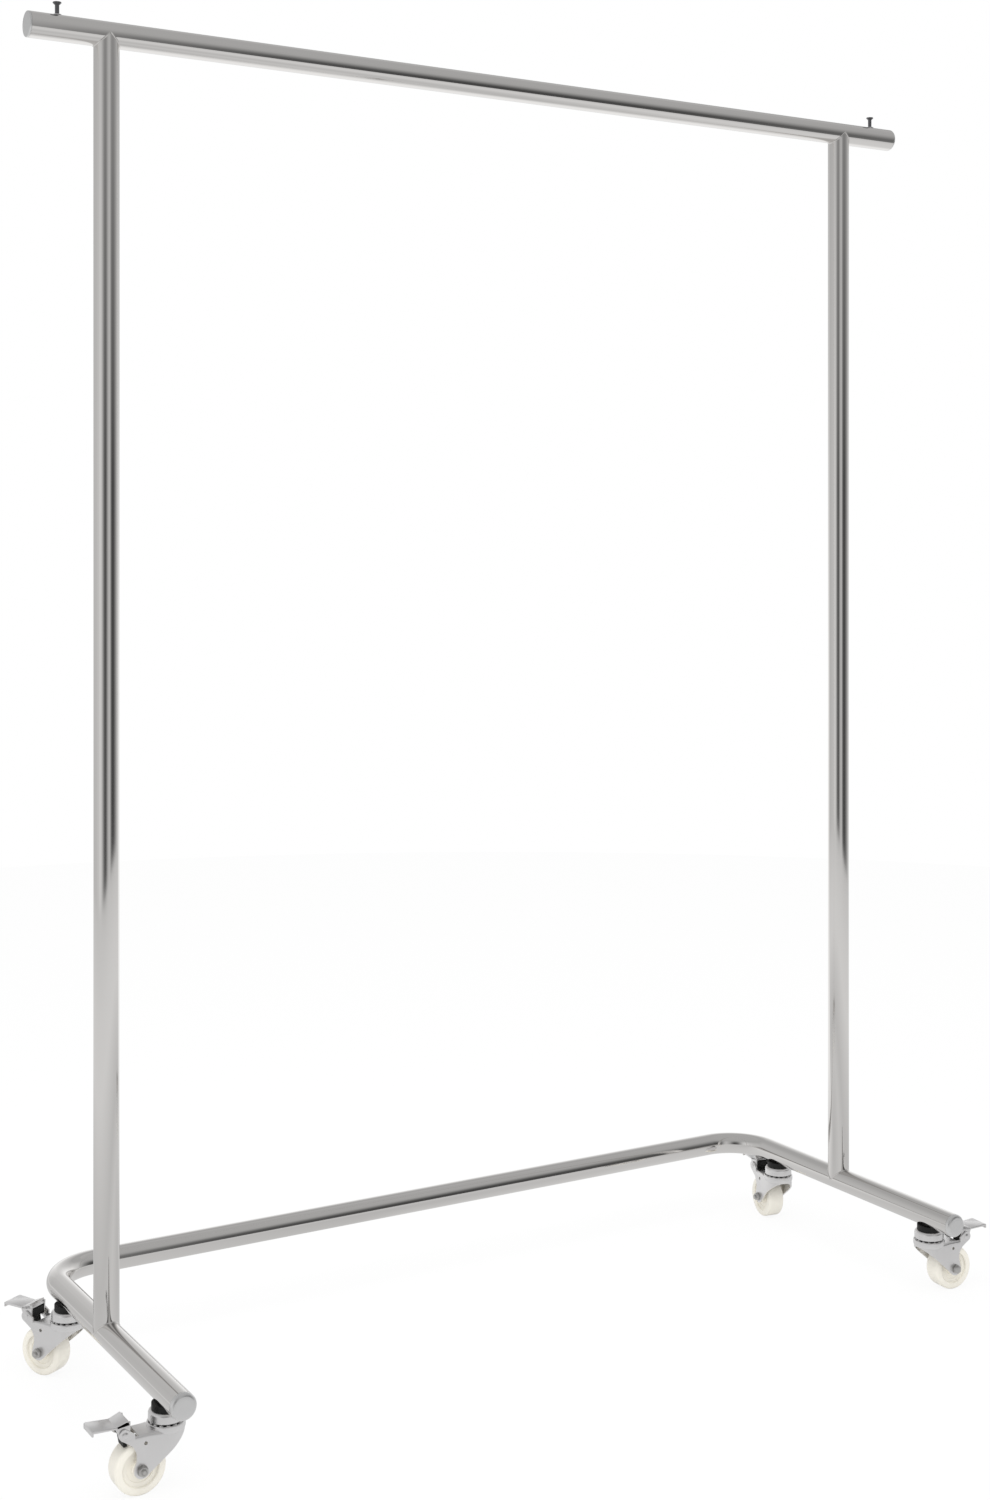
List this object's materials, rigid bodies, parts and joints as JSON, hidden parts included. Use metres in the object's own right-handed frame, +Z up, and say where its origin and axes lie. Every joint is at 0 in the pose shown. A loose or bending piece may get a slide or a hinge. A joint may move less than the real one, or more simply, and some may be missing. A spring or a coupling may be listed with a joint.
{
  "type": "rolling clothes rack",
  "caption": "Rolling clothes rack: a straight chromed tube rail on two posts, on an open U-shaped tube base with braked swivel casters, for clothes on hangers.",
  "frame": {"origin": "centre of the footprint on the floor, under the two posts", "axes": "+X along the hanging rail towards the right-hand post, +Y from the open front of the base towards its back bar, +Z up"},
  "size_m": [1.29, 0.48, 1.6355],
  "materials": {
    "chrome_tube": "polished chrome plate on steel tube",
    "chrome_cap": "satin chromed end cap",
    "pin_steel": "dark burnished steel",
    "zinc_plate": "bright zinc-plated pressed steel",
    "bolt_steel": "dull zinc-plated steel",
    "black_plastic": "black plastic, fine matt",
    "cream_nylon": "cream-white nylon, soft gloss"
  },
  "bodies": {
    "frame": {"top_rail": "chrome_tube", "rail_cap_left": "chrome_cap", "rail_cap_right": "chrome_cap", "stop_pin_left": "pin_steel", "stop_pin_right": "pin_steel", "pin_inserts": "zinc_plate", "post_left": "chrome_tube", "post_right": "chrome_tube", "base_tube": "chrome_tube", "leg_cap_left": "chrome_cap", "leg_cap_right": "chrome_cap", "stem_inserts": "zinc_plate", "spacer_fl": "black_plastic", "upper_race_fl": "zinc_plate", "stem_fl": "zinc_plate", "spacer_bl": "black_plastic", "upper_race_bl": "zinc_plate", "stem_bl": "zinc_plate", "spacer_br": "black_plastic", "upper_race_br": "zinc_plate", "stem_br": "zinc_plate", "spacer_fr": "black_plastic", "upper_race_fr": "zinc_plate", "stem_fr": "zinc_plate"},
    "swivel_fl": {"ball_ring_fl": "zinc_plate", "fork_fl": "zinc_plate", "axle_bolt_fl": "bolt_steel", "brake_pin_fl": "zinc_plate"},
    "roller_fl": {"wheel_fl": "cream_nylon", "wheel_bush_fl": "zinc_plate"},
    "brake_fl": {"brake_lever_fl": "zinc_plate", "brake_shoe_fl": "black_plastic"},
    "swivel_bl": {"ball_ring_bl": "zinc_plate", "fork_bl": "zinc_plate", "axle_bolt_bl": "bolt_steel", "brake_pin_bl": "zinc_plate"},
    "roller_bl": {"wheel_bl": "cream_nylon", "wheel_bush_bl": "zinc_plate"},
    "brake_bl": {"brake_lever_bl": "zinc_plate", "brake_shoe_bl": "black_plastic"},
    "swivel_br": {"ball_ring_br": "zinc_plate", "fork_br": "zinc_plate", "axle_bolt_br": "bolt_steel", "brake_pin_br": "zinc_plate"},
    "roller_br": {"wheel_br": "cream_nylon", "wheel_bush_br": "zinc_plate"},
    "brake_br": {"brake_lever_br": "zinc_plate", "brake_shoe_br": "black_plastic"},
    "swivel_fr": {"ball_ring_fr": "zinc_plate", "fork_fr": "zinc_plate", "axle_bolt_fr": "bolt_steel", "brake_pin_fr": "zinc_plate"},
    "roller_fr": {"wheel_fr": "cream_nylon", "wheel_bush_fr": "zinc_plate"},
    "brake_fr": {"brake_lever_fr": "zinc_plate", "brake_shoe_fr": "black_plastic"}
  },
  "joints": [
    {"name": "swivel_fl_turn", "type": "hinge", "parent": "frame", "child": "swivel_fl", "pos_m": [-0.55, -0.187, 0.07], "axis": [0, 0, 1], "continuous": true},
    {"name": "wheel_fl_spin", "type": "hinge", "parent": "swivel_fl", "child": "roller_fl", "pos_m": [-0.583, -0.187, 0.029], "axis": [0, -1, 0], "continuous": true},
    {"name": "brake_fl_press", "type": "hinge", "parent": "swivel_fl", "child": "brake_fl", "pos_m": [-0.602, -0.187, 0.07], "axis": [0, -1, 0], "range_deg": [0, 14]},
    {"name": "swivel_bl_turn", "type": "hinge", "parent": "frame", "child": "swivel_bl", "pos_m": [-0.55, 0.137, 0.07], "axis": [0, 0, 1], "continuous": true},
    {"name": "wheel_bl_spin", "type": "hinge", "parent": "swivel_bl", "child": "roller_bl", "pos_m": [-0.56749, 0.16499, 0.029], "axis": [-0.848, -0.5299, 0], "continuous": true},
    {"name": "brake_bl_press", "type": "hinge", "parent": "swivel_bl", "child": "brake_bl", "pos_m": [-0.57756, 0.1811, 0.07], "axis": [-0.848, -0.5299, 0], "range_deg": [0, 14]},
    {"name": "swivel_br_turn", "type": "hinge", "parent": "frame", "child": "swivel_br", "pos_m": [0.55, 0.137, 0.07], "axis": [0, 0, 1], "continuous": true},
    {"name": "wheel_br_spin", "type": "hinge", "parent": "swivel_br", "child": "roller_br", "pos_m": [0.55573, 0.1695, 0.029], "axis": [-0.9848, 0.1736, 0], "continuous": true},
    {"name": "brake_br_press", "type": "hinge", "parent": "swivel_br", "child": "brake_br", "pos_m": [0.55903, 0.18821, 0.07], "axis": [-0.9848, 0.1736, 0], "range_deg": [0, 14]},
    {"name": "swivel_fr_turn", "type": "hinge", "parent": "frame", "child": "swivel_fr", "pos_m": [0.55, -0.187, 0.07], "axis": [0, 0, 1], "continuous": true},
    {"name": "wheel_fr_spin", "type": "hinge", "parent": "swivel_fr", "child": "roller_fr", "pos_m": [0.58292, -0.1893, 0.029], "axis": [0.0698, 0.9976, 0], "continuous": true},
    {"name": "brake_fr_press", "type": "hinge", "parent": "swivel_fr", "child": "brake_fr", "pos_m": [0.60187, -0.19063, 0.07], "axis": [0.0698, 0.9976, 0], "range_deg": [0, 14]}
  ]
}
